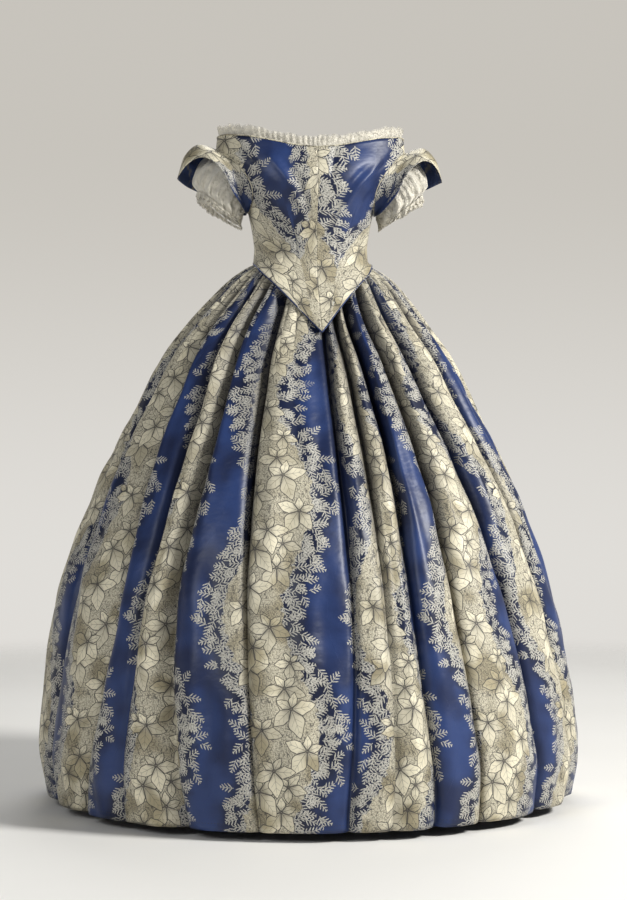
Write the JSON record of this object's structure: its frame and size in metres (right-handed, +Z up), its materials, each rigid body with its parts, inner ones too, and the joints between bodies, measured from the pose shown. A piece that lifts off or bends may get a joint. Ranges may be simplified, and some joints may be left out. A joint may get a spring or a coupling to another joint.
{
  "type": "evening dress",
  "caption": "Off-the-shoulder evening dress with a pointed bodice, short cap sleeves over net puffs, and a full floor-length pleated skirt.",
  "frame": {"origin": "middle of the waist, where the wearer's waist carries the dress", "axes": "+Z up along the body; the front faces -Y; +X is the wearer's left"},
  "size_m": [1.0749, 1.0776, 1.3433],
  "materials": {
    "figured_silk": "blue silk taffeta with a woven cream and tan leaf figure, soft sheen",
    "silk_net": "cream silk net, matt and slightly see-through"
  },
  "bodies": {
    "root": {"skirt_front": "figured_silk", "skirt_side_front_left": "figured_silk", "skirt_side_front_right": "figured_silk", "skirt_side_back_left": "figured_silk", "skirt_side_back_right": "figured_silk", "skirt_back_left": "figured_silk", "skirt_back_right": "figured_silk", "bodice_front_left": "figured_silk", "bodice_front_right": "figured_silk", "bodice_side_left": "figured_silk", "bodice_side_right": "figured_silk", "bodice_back_left": "figured_silk", "bodice_back_right": "figured_silk", "sleeve_cap_left": "figured_silk", "sleeve_cap_right": "figured_silk", "sleeve_puff_left": "silk_net", "sleeve_puff_right": "silk_net", "sleeve_frill_left": "silk_net", "sleeve_frill_right": "silk_net", "neck_frill": "silk_net"}
  },
  "joints": []
}
